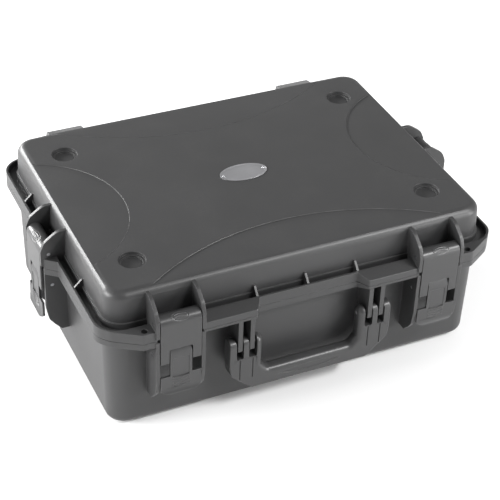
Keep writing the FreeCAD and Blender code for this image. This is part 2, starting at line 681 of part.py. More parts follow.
def add_foam_insert():
    """Cut foam: a four-armed nest for the drone on the left, a controller and its batteries on the right."""
    top = d.insert_top_z
    body = foam_block("foam_insert", top, floor_z + 2 * d.fit_gap + d.pad_thickness)
    x, half = DRONE_FROM_END - d.half_length, DRONE_HALF
    sketches = [[rectangle(x - half, -half * 0.8, x + half, half * 0.8, 18)]]
    reach, side = DRONE_ARM, DRONE_ARM_WIDTH / 2 ** 0.5 / 2
    for lean in (-1, 1):
        ends = [(-reach - side, -reach + side), (-reach + side, -reach - side), (reach + side, reach - side),
                (reach - side, reach + side)]
        sketches.append([[(x + lean * u, v) for u, v in ends]])
    right, front = d.half_length - EDGE_TO_NESTS, EDGE_TO_NESTS - d.half_width
    back = d.half_width - EDGE_TO_BATTERIES
    charger_y = front + CONTROLLER_SIZE[1] + NEST_GAP
    sketches.append([rectangle(right - CONTROLLER_SIZE[0], front, right, front + CONTROLLER_SIZE[1], 12),
                     rectangle(right - CHARGER_SIZE[0], charger_y, right, charger_y + CHARGER_SIZE[1], 8)])
    batteries = []
    for number in range(3):
        left = right - CONTROLLER_SIZE[0] + number * BATTERY_STEP
        batteries.append(rectangle(left, back - BATTERY_SIZE[1], left + BATTERY_SIZE[0], back, 6))
    sketches.append(batteries)
    for plans in sketches:
        sketch = new_sketch(body, "XY_Plane", top)
        for plan in plans:
            outline(sketch, plan)
        cut(body, sketch, d.cut_depth - BATTERY_LIFT if plans is batteries else d.cut_depth)
    wells = new_sketch(body, "XY_Plane", top)
    for u in (-1, 1):
        for v in (-1, 1):
            circle(wells, x + u * DRONE_ARM, v * DRONE_ARM, MOTOR_WELL)
    cut(body, wells, d.cut_depth)
    return tidy(body)


def add_lid_foam():
    body = new_body("foam_lid")
    top = d.lid_top_z - d.pocket_depth - 3 - d.fit_gap
    lean = math.tan(math.radians(d.lid_draft.value))
    sketch = new_sketch(body, "XY_Plane", top)
    outline(sketch, shell_outline(inset=d.wall + d.foam_gap + (top - lid_z) * lean))
    grow(body, sketch, top - d.lid_foam_bottom_z, backwards=True, taper=d.lid_draft)
    return body


def add_foot(label, x, y):
    body = new_body(label)
    sketch = new_sketch(body, "XY_Plane")
    circle(sketch, 0, 0, d.foot_radius)
    grow(body, sketch, d.foot_height + d.foot_seat)
    round_edges(body, 1.5, at_height(0))
    return place(body, x, y, 0)


def add_nameplate():
    blank = oval("nameplate_blank", 0, d.nameplate_thickness)
    drills = []
    for side in (-1, 1):
        drill = doc.addObject("Part::Cylinder", "rivet_hole")
        drill.setExpression("Radius", (RIVET_RADIUS + d.running_gap).text)
        drill.Height = 20
        drills.append(place(drill, side * RIVET_X, 0, -5))
    holes = doc.addObject("Part::MultiFuse", "rivet_holes")
    holes.Shapes = drills
    nameplate = doc.addObject("Part::Cut", "nameplate")
    nameplate.Base = blank
    nameplate.Tool = holes
    nameplate.Label = "nameplate"
    doc.recompute()
    return place(nameplate, 0, 0, d.lid_top_z - d.nameplate_seat)


def add_rivets():
    """Two round-headed rivets that hold the nameplate."""
    seat = d.lid_top_z.value - d.nameplate_seat.value
    top = seat + d.nameplate_thickness.value
    rivets = []
    for x in (-RIVET_X, RIVET_X):
        shank = Part.makeCylinder(RIVET_RADIUS, d.nameplate_thickness.value, Vector(x, 0, seat))
        ball = Part.makeSphere(2.6, Vector(x, 0, top - 1.6))
        head = ball.common(Part.makeCylinder(2.4, 2, Vector(x, 0, top)))
        rivets.append(shank.fuse(head).removeSplitter())
    group = doc.addObject("Part::Feature", "nameplate_rivets")
    group.Shape = Part.makeCompound(rivets)
    group.Label = "nameplate_rivets"
    return group


# ---- handle ----------------------------------------------------------------------------------------------

def add_handle():
    body = new_body("front_handle")
    front = handle_y + d.handle_depth / 2
    bottom, half = d.handle_bottom_z, d.handle_half_width
    finger_top, slot = d.handle_z + d.handle_depth / 2, d.handle_z - 19
    inner = d.opening_half_width
    plan = new_sketch(body, "XZ_Plane", front - d.handle_depth)
    corners = [(half - 32, bottom, 6), (half - 2, bottom + 27, 8), (half, bottom + 42, 20),
               (half, finger_top)]
    for outer, far in HANDLE_SLOTS:
        corners += [(half - outer, finger_top), (half - outer, slot, 2), (half - far, slot, 2),
                    (half - far, finger_top)]
    corners += [(inner, finger_top), (inner, bottom + 35, 6), (inner - 9, d.grip_top_z, 8)]
    outline(plan, mirrored(corners))
    grow(body, plan, d.handle_depth)
    round_edges(body, d.handle_depth / 2 - 0.4, at_height(finger_top, lengthwise=1))
    round_edges(body, 8, at_height(d.grip_top_z, lengthwise=60))
    round_edges(body, 1.5, at_height(bottom, lengthwise=60))
    lens = new_sketch(body, "XZ_Plane", front)
    outline(lens, [(-43, bottom + 11.5), (0, bottom + 4, 220), (43, bottom + 11.5), (0, bottom + 21, 180)])
    cut(body, lens, 1.2)
    grooves = new_sketch(body, "XZ_Plane", front)
    for outer, far in HANDLE_SLOTS:
        x = half - (outer + far) / 2
        outline(grooves, rectangle(x - 0.7, bottom + 18, x + 0.7, slot - 1))
        outline(grooves, rectangle(-x - 0.7, bottom + 18, -x + 0.7, slot - 1))
    cut(body, grooves, 1.5)
    sides = new_sketch(body, "YZ_Plane")
    circle(sides, -handle_y, d.handle_z, d.handle_pin_radius + d.running_gap)
    cut(body, sides, 2 * (half - 1), both_ways=True)
    return tidy(body)


# ---- latches ---------------------------------------------------------------------------------------------
# A latch is made in its own frame: X along the wall, -Y out of the wall from its surface, Z from the ground.

def add_latch_plate(label):
    body = new_body(label)
    out, face = d.latch_axis_out, d.latch_axis_out + d.barrel_radius
    inside = face - d.plate_thickness
    width = 2 * plate_half_width
    barrel = new_sketch(body, "YZ_Plane")
    circle(barrel, -out, d.latch_axis_z, d.barrel_radius)
    grow(body, barrel, width, both_ways=True)
    blade = new_sketch(body, "YZ_Plane")
    outline(blade, [(-face, d.latch_axis_z), (-face, d.plate_bottom_z, 1), (-inside, d.plate_bottom_z, 1),
                    (-inside, d.latch_axis_z - 9.5, 3), (-inside + 5, d.latch_axis_z - 5),
                    (-inside + 5, d.latch_axis_z)])
    grow(body, blade, width, both_ways=True)
    boss = [(-inside - 0.5, d.notch_top_z + 6), (-lever_axis_out + 3.8, d.notch_top_z - 2, 2),
            (-lever_axis_out + 3.8, d.lever_axis_z - 4, 3), (-inside - 0.5, d.lever_axis_z - 9)]
    bosses = [slab(body, "YZ_Plane", x, boss, BOSS_END - d.notch_width / 2)
              for x in (d.notch_width / 2, -BOSS_END)]
    notch = new_sketch(body, "XZ_Plane", face + 1)
    half = d.notch_width / 2
    outline(notch, [(-half, d.plate_bottom_z - 5), (half, d.plate_bottom_z - 5), (half, d.notch_top_z, 1.5),
                    (-half, d.notch_top_z, 1.5)])
    cut(body, notch, 20)
    drilled(body, "YZ_Plane", 0, -out, d.latch_axis_z, d.latch_pin_radius + d.running_gap, width + 4,
            both_ways=True)
    drilled(body, "YZ_Plane", 0, -lever_axis_out, d.lever_axis_z, d.lever_pin_radius + d.running_gap, width,
            both_ways=True)
    return tidy(body)


def add_latch_lever(label):
    body = new_body(label)
    face = d.latch_axis_out + d.barrel_radius
    inside = face - d.plate_thickness
    half, tongue, bottom = plate_half_width, d.tongue_width / 2, d.lever_bottom_z
    front = new_sketch(body, "XZ_Plane", inside)
    outline(front, mirrored([(half - 8, bottom, 22), (half, bottom + 5, 3), (half, d.lever_shoulder_z, 1),
                             (tongue, d.lever_shoulder_z), (tongue, d.tongue_top_z, 1)]))
    grow(body, front, d.plate_thickness)
    eye = new_sketch(body, "YZ_Plane")
    circle(eye, -lever_axis_out, d.lever_axis_z, d.lever_barrel_radius)
    grow(body, eye, d.tongue_width, both_ways=True)
    slant = new_sketch(body, "YZ_Plane")
    top = d.tongue_top_z
    outline(slant, [(-face - 1, top - 8), (-face, top - 7), (-face + 3.4, top), (-face + 3.4, top + 1),
                    (-face - 1, top + 1)])
    cut(body, slant, d.tongue_width + 2, both_ways=True)
    lip = new_sketch(body, "XZ_Plane", inside)
    outline(lip, mirrored([(half - 8, bottom, 22), (half, bottom + 5, 3), (half, bottom + LIP_HEIGHT)]))
    grow(body, lip, d.plate_thickness + LIP_REACH)
    scoop = new_sketch(body, "YZ_Plane")
    outline(scoop, [(-face, bottom + LIP_HEIGHT), (-face - LIP_REACH * 0.35, bottom + LIP_HEIGHT * 0.5, 12),
                    (-face - LIP_REACH, bottom + 1.5), (-face - LIP_REACH - 1, bottom + 1.5),
                    (-face - LIP_REACH - 1, bottom + LIP_HEIGHT + 1), (-face, bottom + LIP_HEIGHT + 1)])
    cut(body, scoop, 2 * half + 2, both_ways=True)
    rod_side = keeper_out + d.latch_pin_radius + 0.5
    claw = new_sketch(body, "YZ_Plane")
    outline(claw, [(-inside - 0.5, d.keeper_z - 13), (-rod_side, d.keeper_z - 9, 2),
                   (-rod_side, d.keeper_z + 3.5), (-lever_axis_out, d.lever_axis_z - 3),
                   (-inside - 0.5, d.lever_axis_z - 3)])
    grow(body, claw, d.tongue_width - 6, both_ways=True)
    panel = new_sketch(body, "XZ_Plane", face)
    outline(panel, rectangle(-tongue + 3.5, d.lever_shoulder_z - 3, tongue - 3.5, top - 14, 1.5))
    cut(body, panel, 0.8)
    ridges = new_sketch(body, "XZ_Plane", face - 0.6)
    for z in RIDGE_HEIGHTS:
        bar(ridges, bottom + z, 11.5, 1.3)
    grow(body, ridges, 1.4)
    drilled(body, "YZ_Plane", 0, -lever_axis_out, d.lever_axis_z, d.lever_pin_radius + d.running_gap,
            d.tongue_width + 4, both_ways=True)
    return tidy(body)


def bar(sketch, z, half, thick):
    """A ridge that sags a little in the middle."""
    outline(sketch, [(-half, z + 1.2), (0, z, 30), (half, z + 1.2), (half, z + 1.2 + thick),
                     (0, z + thick, 30), (-half, z + 1.2 + thick)])


def add_latch(side, x, y, turn):
    """One latch: plate, lever, their pins and the keeper rod in the base, at a wall that faces turn."""
    across = d.bay_width + 2 * d.fin_thickness - 1
    across_plate = 2 * BOSS_END - 1
    pieces = [add_latch_plate(f"latch_plate_{side}"), add_latch_lever(f"latch_lever_{side}")]
    for piece in pieces:
        place(piece, x, y, 0, turn)
    rods = [(f"latch_pin_{side}", d.latch_pin_radius, across, d.latch_axis_out, d.latch_axis_z),
            (f"keeper_rod_{side}", d.latch_pin_radius, across, keeper_out, d.keeper_z),
            (f"lever_pin_{side}", d.lever_pin_radius, across_plate, lever_axis_out, d.lever_axis_z)]
    for label, radius, length, out, z in rods:
        outward = {0: (0, -1), -90: (-1, 0), 90: (1, 0)}[turn]
        pin = rod(label, radius, length)
        pieces.append(place(pin, x + outward[0] * out, y + outward[1] * out, z, turn))
    return pieces


# ---- the whole case --------------------------------------------------------------------------------------

pieces = [add_base_shell(), add_lid_shell(), add_gasket(), add_foam_pad(), add_foam_insert(), add_lid_foam(),
          add_nameplate(), add_rivets(), add_handle()]
for side, sign in (("left", -1), ("right", 1)):
    pieces.append(place(rod(f"hinge_pin_{side}", d.hinge_pin_radius, 2 * d.hinge_half_width - 1),
                        sign * d.hinge_centre_x, d.half_width + d.hinge_out, d.hinge_z))
    handle_pin_x = d.handle_half_width - 24
    pieces.append(place(rod(f"handle_pin_{side}", d.handle_pin_radius, 45), sign * handle_pin_x, -handle_y,
                        d.handle_z))
    pieces += add_latch(f"front_{side}", sign * latch_x, -d.half_width, 0)
    pieces += add_latch(side, sign * d.half_length, size_of(0), sign * 90)
    for end, way in (("front", -1), ("back", 1)):
        pieces.append(add_foot(f"foot_{end}_{side}", sign * d.pocket_x, way * d.pocket_y))
doc.recompute()

for thing in doc.Objects:
    if "Invalid" in thing.State or "Error" in thing.State:
        raise RuntimeError(f"{thing.Label} did not build")
os.makedirs("parts", exist_ok=True)
for piece in pieces:
    if piece.Shape.isNull() or not piece.Shape.isValid():
        raise RuntimeError(f"{piece.Label} has no sound shape")
    piece.Shape.exportStep(f"parts/{piece.Label}.step")
print(len(pieces), "pieces written")
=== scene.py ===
import json
import math

import bpy
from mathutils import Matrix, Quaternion, Vector


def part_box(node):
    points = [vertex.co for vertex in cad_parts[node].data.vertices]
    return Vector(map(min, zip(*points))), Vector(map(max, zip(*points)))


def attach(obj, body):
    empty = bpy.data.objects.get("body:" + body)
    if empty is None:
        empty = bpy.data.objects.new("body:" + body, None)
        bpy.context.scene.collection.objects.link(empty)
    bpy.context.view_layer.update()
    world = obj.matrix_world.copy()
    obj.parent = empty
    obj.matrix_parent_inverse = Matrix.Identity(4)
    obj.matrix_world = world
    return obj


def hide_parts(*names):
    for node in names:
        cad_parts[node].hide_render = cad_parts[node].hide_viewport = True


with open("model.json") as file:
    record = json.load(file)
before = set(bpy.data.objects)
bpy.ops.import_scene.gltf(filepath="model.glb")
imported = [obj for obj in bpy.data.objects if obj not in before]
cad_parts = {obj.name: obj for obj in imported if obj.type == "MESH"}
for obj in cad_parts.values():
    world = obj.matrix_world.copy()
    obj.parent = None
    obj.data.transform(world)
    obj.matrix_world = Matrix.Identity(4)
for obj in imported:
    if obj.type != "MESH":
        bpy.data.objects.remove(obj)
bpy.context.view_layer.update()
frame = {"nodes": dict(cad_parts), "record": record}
nodes = frame["nodes"]
scene = bpy.context.scene
sides = ("front_left", "front_right", "left", "right")
mm = 0.001


# camera, floor and lights

cameraSet = {
    "place": (-0.7323, -1.5571, 1.3495),
    "aim": (-0.0019, -0.0338, 0.110),
    "lens": 109.5,
    "roll": 2.27,  # degrees
    "near": 0.05,
    "far": 50,
}


def addCamera():
    data = bpy.data.cameras.new("camera")
    camera = bpy.data.objects.new("camera", data)
    scene.collection.objects.link(camera)
    data.lens = cameraSet["lens"]
    data.clip_start = cameraSet["near"]
    data.clip_end = cameraSet["far"]
    place = Vector(cameraSet["place"])
    look = (Vector(cameraSet["aim"]) - place).to_track_quat("-Z", "Y")
    roll = Quaternion((0, 0, 1), math.radians(cameraSet["roll"]))
    camera.location = place
    camera.rotation_mode = "QUATERNION"
    camera.rotation_quaternion = look @ roll
    scene.camera = camera


studioSet = {
    "floorHalf": 6.0,
    "floorColour": (0.9, 0.9, 0.9, 1),
    "floorRough": 0.9,
    "room": 0.38,  # brightness of the white room
    "exposure": 0.0,
}

# name, place, aim, width, height, watts
softboxes = (
    ("left key softbox", (-2.8, 0.3, 0.95), (0, 0, 0.1), 1.4, 1.0, 112),
    ("left back softbox", (-1.5, 2.2, 1.0), (0, 0, 0.1), 1.7, 0.55, 115),
    ("front high softbox", (1.25, -1.7, 2.1), (0, 0, 0.1), 1.0, 0.25, 58),
    ("back strip", (1.1, 2.8, 0.45), (0, 0, 0.2), 1.8, 0.25, 7),
    ("right front softbox", (1.15, -1.15, 0.42), (0.28, -0.2, 0.13), 0.5, 0.45, 16),
)


def addStudio():
    bpy.ops.mesh.primitive_plane_add(size=2 * studioSet["floorHalf"], location=(0, 0, 0))
    floor = bpy.context.object
    floor.name = "floor"
    paint = bpy.data.materials.new("floorPaint")
    paint.use_nodes = True
    shader = paint.node_tree.nodes["Principled BSDF"]
    shader.inputs["Base Color"].default_value = studioSet["floorColour"]
    shader.inputs["Roughness"].default_value = studioSet["floorRough"]
    floor.data.materials.append(paint)
    world = bpy.data.worlds.new("whiteRoom")
    scene.world = world
    world.use_nodes = True
    back = world.node_tree.nodes["Background"]
    back.inputs["Color"].default_value = (1, 1, 1, 1)
    back.inputs["Strength"].default_value = studioSet["room"]
    for name, place, aim, width, height, watts in softboxes:
        data = bpy.data.lights.new(name, "AREA")
        data.shape = "RECTANGLE"
        data.size = width
        data.size_y = height
        data.energy = watts
        lamp = bpy.data.objects.new(name, data)
        scene.collection.objects.link(lamp)
        lamp.location = place
        lamp.rotation_mode = "QUATERNION"
        lamp.rotation_quaternion = (Vector(aim) - Vector(place)).to_track_quat("-Z", "Y")
    scene.view_settings.view_transform = "Standard"
    scene.view_settings.exposure = studioSet["exposure"]


addCamera()
addStudio()
print("camera and studio set")


# what several materials share

def newGroup(name, inputs, outputs):
    group = bpy.data.node_groups.new(name, "ShaderNodeTree")
    for label, kind, value in inputs:
        socket = group.interface.new_socket(label, in_out="INPUT", socket_type=kind)
        socket.default_value = value
    for label, kind in outputs:
        group.interface.new_socket(label, in_out="OUTPUT", socket_type=kind)
    start = group.nodes.new("NodeGroupInput")
    end = group.nodes.new("NodeGroupOutput")
    return group, start, end


def addNode(tree, kind, **settings):
    node = tree.nodes.new(kind)
    for key, value in settings.items():
        if key in node.inputs:
            node.inputs[key].default_value = value
        else:
            setattr(node, key, value)
    return node


def mathNode(tree, operation, first, second=None, third=None, clamp=False):
    node = tree.nodes.new("ShaderNodeMath")
    node.operation = operation
    node.use_clamp = clamp
    for slot, value in enumerate((first, second, third)):
        if value is None:
            continue
        if isinstance(value, (int, float)):
            node.inputs[slot].default_value = value
        else:
            tree.links.new(value, node.inputs[slot])
    return node.outputs[0]


def mixColour(tree, factor, first, second, blend="MIX"):
    node = tree.nodes.new("ShaderNodeMix")
    node.data_type = "RGBA"
    node.blend_type = blend
    for slot, value in ((0, factor), (6, first), (7, second)):
        if isinstance(value, (int, float, tuple)):
            node.inputs[slot].default_value = value
        else:
            tree.links.new(value, node.inputs[slot])
    return node.outputs[2]


def ramp(tree, value, low, high):
    # 0 below low, 1 above high
    node = addNode(tree, "ShaderNodeMapRange", clamp=True, interpolation_type="SMOOTHSTEP")
    node.inputs["From Min"].default_value = low
    node.inputs["From Max"].default_value = high
    tree.links.new(value, node.inputs["Value"])
    return node.outputs["Result"]


grainSet = {
    "pitScale": 1400.0,
    "pitSoft": 0.4,
    "fuzzScale": 2600.0,
    "driftScale": 7.0,
}


def mouldGrain():
    # spark-eroded grain of moulded plastic: height, and a slow drift in tone
    group, start, end = newGroup(
        "mouldGrain",
        [("Size", "NodeSocketFloat", 1.0), ("Drift", "NodeSocketFloat", 1.0)],
        [("Height", "NodeSocketFloat"), ("Tone", "NodeSocketFloat")])
    links = group.links
    objectPlace = addNode(group, "ShaderNodeTexCoord").outputs["Object"]
    scale = addNode(group, "ShaderNodeVectorMath", operation="SCALE")
    links.new(objectPlace, scale.inputs[0])
    links.new(mathNode(group, "DIVIDE", 1.0, start.outputs["Size"]), scale.inputs["Scale"])
    pits = addNode(group, "ShaderNodeTexVoronoi", feature="SMOOTH_F1", Scale=grainSet["pitScale"],
                   Smoothness=grainSet["pitSoft"])
    links.new(scale.outputs[0], pits.inputs["Vector"])
    fuzz = addNode(group, "ShaderNodeTexNoise", Scale=grainSet["fuzzScale"], Detail=2.0, Roughness=0.6)
    links.new(scale.outputs[0], fuzz.inputs["Vector"])
    both = mathNode(group, "ADD", pits.outputs["Distance"], fuzz.outputs["Fac"])
    links.new(mathNode(group, "MULTIPLY", both, 0.5), end.inputs["Height"])
    slow = addNode(group, "ShaderNodeTexNoise", Scale=grainSet["driftScale"], Detail=3.0, Roughness=0.55)
    links.new(objectPlace, slow.inputs["Vector"])
    shift = mathNode(group, "SUBTRACT", slow.outputs["Fac"], 0.5)
    shift = mathNode(group, "MULTIPLY", shift, start.outputs["Drift"])
    links.new(mathNode(group, "ADD", shift, 0.5), end.inputs["Tone"])
    return group


wearAndHighlightSet = {
    "rubAndHighlightReach": 0.9 * mm,
    "rubAndHighlightBend": (0.02, 0.2),  # how far the surface turns, from none to full
    "rubAndHighlightScale": 60.0,
    "rubAndHighlightPatches": (0.35, 0.65),
    "rubAndHighlightBreak": 0.55,
    # how much of the edge mask goes into the colour, as wear and painted highlight
    "rubAndHighlightShown": 0.8,
    "rubPolish": 0.08,
    "dustFacing": (0.3, 0.95),  # how level the surface is, from none to full
    "dustScale": 18.0,
    "dustPatches": (0.4, 0.75),
    "speckScale": 900.0,
    "specks": (0.45, 0.7),
    "dustColour": (0.3, 0.29, 0.27, 1),
    "dustMatt": 0.4,
}


def edgeRubAndHighlight():
    # 1 along outer edges, broken up by noise: wear where hands and shelves touch them, and a painted
    #                                          highlight on the small radii
    group, start, end = newGroup(
        "edgeRubAndHighlight",
        [("Reach", "NodeSocketFloat", 0.0008), ("Break", "NodeSocketFloat", 0.5)],
        [("Mask", "NodeSocketFloat")])
    links = group.links
    rounded = addNode(group, "ShaderNodeBevel", samples=4)
    links.new(start.outputs["Reach"], rounded.inputs["Radius"])
    flat = addNode(group, "ShaderNodeNewGeometry")
    dot = addNode(group, "ShaderNodeVectorMath", operation="DOT_PRODUCT")
    links.new(rounded.outputs["Normal"], dot.inputs[0])
    links.new(flat.outputs["Normal"], dot.inputs[1])
    bend = mathNode(group, "SUBTRACT", 1.0, dot.outputs["Value"])
    near = ramp(group, bend, *wearAndHighlightSet["rubAndHighlightBend"])
    objectPlace = addNode(group, "ShaderNodeTexCoord").outputs["Object"]
    noise = addNode(group, "ShaderNodeTexNoise", Scale=wearAndHighlightSet["rubAndHighlightScale"], Detail=4.0,
                    Roughness=0.65)
    links.new(objectPlace, noise.inputs["Vector"])
    patchy = ramp(group, noise.outputs["Fac"], *wearAndHighlightSet["rubAndHighlightPatches"])
    broken = mathNode(group, "MULTIPLY", patchy, start.outputs["Break"])
    kept = mathNode(group, "SUBTRACT", 1.0, broken)
    links.new(mathNode(group, "MULTIPLY", near, kept, clamp=True), end.inputs["Mask"])
    return group


def fineDust():
    # a little dust where a surface faces up
    group, start, end = newGroup(
        "fineDust",
        [("Amount", "NodeSocketFloat", 0.1)],
        [("Mask", "NodeSocketFloat")])
    links = group.links
    facing = addNode(group, "ShaderNodeSeparateXYZ")
    links.new(addNode(group, "ShaderNodeNewGeometry").outputs["Normal"], facing.inputs[0])
    up = ramp(group, facing.outputs["Z"], *wearAndHighlightSet["dustFacing"])
    objectPlace = addNode(group, "ShaderNodeTexCoord").outputs["Object"]
    cloud = addNode(group, "ShaderNodeTexNoise", Scale=wearAndHighlightSet["dustScale"], Detail=5.0,
                    Roughness=0.6)
    links.new(objectPlace, cloud.inputs["Vector"])
    specks = addNode(group, "ShaderNodeTexNoise", Scale=wearAndHighlightSet["speckScale"], Detail=1.0)
    links.new(objectPlace, specks.inputs["Vector"])
    patches = mathNode(group, "MULTIPLY",
                       ramp(group, cloud.outputs["Fac"], *wearAndHighlightSet["dustPatches"]),
                       ramp(group, specks.outputs["Fac"], *wearAndHighlightSet["specks"]))
    lying = mathNode(group, "MULTIPLY", up, patches)
    mask = mathNode(group, "MULTIPLY", lying, start.outputs["Amount"])
    links.new(mask, end.inputs["Mask"])
    return group


grainGroup = mouldGrain()
rubAndHighlightGroup = edgeRubAndHighlight()
dustGroup = fineDust()


def placeGroup(tree, group, **values):
    node = tree.nodes.new("ShaderNodeGroup")
    node.node_tree = group
    for key, value in values.items():
        node.inputs[key].default_value = value
    return node


def newMaterial(name, **fixed):
    material = bpy.data.materials.new(name)
    material.use_nodes = True
    tree = material.node_tree
    shader = tree.nodes["Principled BSDF"]
    for key, value in fixed.items():
        shader.inputs[key].default_value = value
    return material, tree, shader


def bump(tree, shader, height, depth):
    node = addNode(tree, "ShaderNodeBump", Strength=1.0, Distance=depth)
    tree.links.new(height, node.inputs["Height"])
    tree.links.new(node.outputs["Normal"], shader.inputs["Normal"])


plasticSet = {
    # name: dark tone, light tone, edge tone (worn edges and painted highlight), roughness, grain size,
    # grain depth, dust
    "shellPlastic": (0.030, 0.038, 0.14, 0.42, 1.0, 0.00006, 0.05),
    "latchPlastic": (0.033, 0.041, 0.18, 0.34, 0.7, 0.00003, 0.03),
    "handlePlastic": (0.033, 0.042, 0.18, 0.35, 0.8, 0.00004, 0.03),
}
driftRough = 0.12  # how far roughness wanders with the tone


def charcoal(grey):
    # the plastic is a touch blue
    return (grey, grey, grey * 1.02, 1)


def mouldedPlastic(name):
    dark, light, rubAndHighlightTone, rough, size, depth, dust = plasticSet[name]
    material, tree, shader = newMaterial(name)
    links = tree.links
    grain = placeGroup(tree, grainGroup, Size=size, Drift=1.0)
    rubAndHighlight = placeGroup(tree, rubAndHighlightGroup, Reach=wearAndHighlightSet["rubAndHighlightReach"], Break=wearAndHighlightSet["rubAndHighlightBreak"])
    settled = placeGroup(tree, dustGroup, Amount=dust)
    rubAndHighlightShare = mathNode(tree, "MULTIPLY", rubAndHighlight.outputs["Mask"], wearAndHighlightSet["rubAndHighlightShown"])
    tone = mixColour(tree, grain.outputs["Tone"], charcoal(dark), charcoal(light))
    # edges get a lighter tone: partly wear, partly a painted highlight along the small radii
    tone = mixColour(tree, rubAndHighlightShare, tone, (rubAndHighlightTone, rubAndHighlightTone, rubAndHighlightTone, 1))
    tone = mixColour(tree, settled.outputs["Mask"], tone, wearAndHighlightSet["dustColour"])
    links.new(tone, shader.inputs["Base Color"])
    wander = mathNode(tree, "MULTIPLY_ADD", grain.outputs["Tone"], driftRough,
                      rough - driftRough / 2)
    polish = mathNode(tree, "MULTIPLY", rubAndHighlight.outputs["Mask"], wearAndHighlightSet["rubPolish"])
    wander = mathNode(tree, "SUBTRACT", wander, polish)
    matt = mathNode(tree, "MULTIPLY", settled.outputs["Mask"], wearAndHighlightSet["dustMatt"])
    wander = mathNode(tree, "ADD", wander, matt, clamp=True)
    links.new(wander, shader.inputs["Roughness"])
    bump(tree, shader, grain.outputs["Height"], depth)
    return material


shellPlastic = mouldedPlastic("shellPlastic")
latchPlastic = mouldedPlastic("latchPlastic")
handlePlastic = mouldedPlastic("handlePlastic")
print("plastics mixed")


# modelling helpers

weldSet = {
    "weld": 0.005 * mm,  # points closer than this are one
    "flat": 0.06,  # degrees between faces that are merged
    "sliver": 0.02 * mm,
    "pinMargin": 0.3 * mm,
}
smoothAngle = 35  # degrees
bodies = frame["record"]["behaviour"]["bodies"]
bodyOf = {node: body for body, members in bodies.items() for node in members}
slotOf = {part["node"]: part["material_slot"] for part in frame["record"]["subparts"]}


def only(piece):
    bpy.ops.object.select_all(action="DESELECT")
    piece.select_set(True)
    bpy.context.view_layer.objects.active = piece


def editing(piece):
    only(piece)
    bpy.ops.object.mode_set(mode="EDIT")
    bpy.ops.mesh.select_all(action="SELECT")


def doneEditing():
    bpy.ops.object.mode_set(mode="OBJECT")


def applyAll(piece):
    only(piece)
    for modifier in list(piece.modifiers):
        bpy.ops.object.modifier_apply(modifier=modifier.name)


def settle(piece):
    # the piece's place goes into its mesh
    only(piece)
    bpy.ops.object.transform_apply(location=True, rotation=True, scale=True)


def finishPiece(piece, material, node, smooth=smoothAngle):
    # the piece stands for a construction node: same body, and the material the caller hands in
    only(piece)
    bpy.ops.object.shade_smooth_by_angle(angle=math.radians(smooth))
    if smooth < 180:
        weights = piece.modifiers.new("flat faces first", "WEIGHTED_NORMAL")
        weights.keep_sharp = True
        weights.mode = "FACE_AREA"
        weights.weight = 100
        applyAll(piece)
    piece.data.materials.clear()
    piece.data.materials.append(material)
    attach(piece, bodyOf[node])
    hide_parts(node)


def weldedCopy(node, name):
    piece = bpy.data.objects.new(name, nodes[node].data.copy())
    scene.collection.objects.link(piece)
    editing(piece)
    bpy.ops.mesh.remove_doubles(threshold=weldSet["weld"])
    bpy.ops.mesh.dissolve_limited(angle_limit=math.radians(weldSet["flat"]))
    bpy.ops.mesh.quads_convert_to_tris(quad_method="BEAUTY", ngon_method="BEAUTY")
    doneEditing()
    bpy.ops.mesh.customdata_custom_splitnormals_clear()
    return piece


# moulded pieces: small radii on every sharp edge

crownSet = {
    # steps and pocket rims on the lid's top are softer than other edges
    "above": 215.0 * mm,
    "radius": 0.9,
}

mouldingSet = {
    # kind: radius in mm, angle in degrees above which an edge is rounded
    "base_shell": (0.55, 32),
    "lid_shell": (0.55, 32),
    "front_handle": (0.7, 32),
    "latch_plate": (0.6, 32),
    "latch_lever": (0.6, 32),
}


def pinAxes():
    # middle, direction and radius of every pin and rod
    found = []
    for name in nodes:
        if "_pin_" in name or "keeper_rod" in name:
            low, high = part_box(name)
            long = max(range(3), key=lambda axis: high[axis] - low[axis])
            radius = min(high[axis] - low[axis] for axis in range(3)) / 2
            found.append(((low + high) / 2, long, radius))
    return found


def besidePin(point):
    for middle, long, radius in pins:
        across = [point[axis] - middle[axis] for axis in range(3) if axis != long]
        if math.hypot(*across) < radius + weldSet["pinMargin"]:
            return True
    return False


pins = pinAxes()


def markSharpEdges(piece, radius, angle):
    # sharp edges get the radius, apart from the rims of pin holes
    editing(piece)
    bpy.ops.mesh.select_mode(type="EDGE")
    bpy.ops.mesh.select_all(action="DESELECT")
    bpy.ops.mesh.edges_select_sharp(sharpness=math.radians(angle))
    doneEditing()
    points = [piece.matrix_world @ vertex.co for vertex in piece.data.vertices]
    beside = [besidePin(point) for point in points]
    weights = piece.data.attributes.new("bevel_weight_edge", "FLOAT", "EDGE")
    for edge in piece.data.edges:
        start, end = edge.vertices
        if edge.select and not (beside[start] and beside[end]):
            crown = min(points[start].z, points[end].z) > crownSet["above"]
            weights.data[edge.index].value = 1 if crown else radius / crownSet["radius"]


def roundedMoulding(node, kind, name):
    radius, angle = mouldingSet[kind]
    piece = weldedCopy(node, name)
    markSharpEdges(piece, radius, angle)
    bevel = piece.modifiers.new("radius", "BEVEL")
    bevel.width = crownSet["radius"] * mm
    bevel.segments = 2
    bevel.limit_method = "WEIGHT"
    bevel.use_clamp_overlap = False
    applyAll(piece)
    editing(piece)
    bpy.ops.mesh.dissolve_degenerate(threshold=weldSet["sliver"])
    doneEditing()
    return piece


mouldings = (
    ("base_shell", "base_moulding", shellPlastic),
    ("lid_shell", "lid_moulding", shellPlastic),
    ("front_handle", "carry_handle", handlePlastic),
)
for node, name, plastic in mouldings:
    finishPiece(roundedMoulding(node, node, name), plastic, node)
print("shells and handle rounded")


# hoods over the two hinges at the back of the lid

hoodSet = {
    "places": (-180 * mm, 180 * mm),
    "half": 26 * mm,
    # y and z in mm
    "profile": ((190, 180), (190, 205), (197, 204), (225, 197), (226, 194), (226, 180)),
    "radius": 1.2 * mm,
    "sharp": 25,  # degrees
}


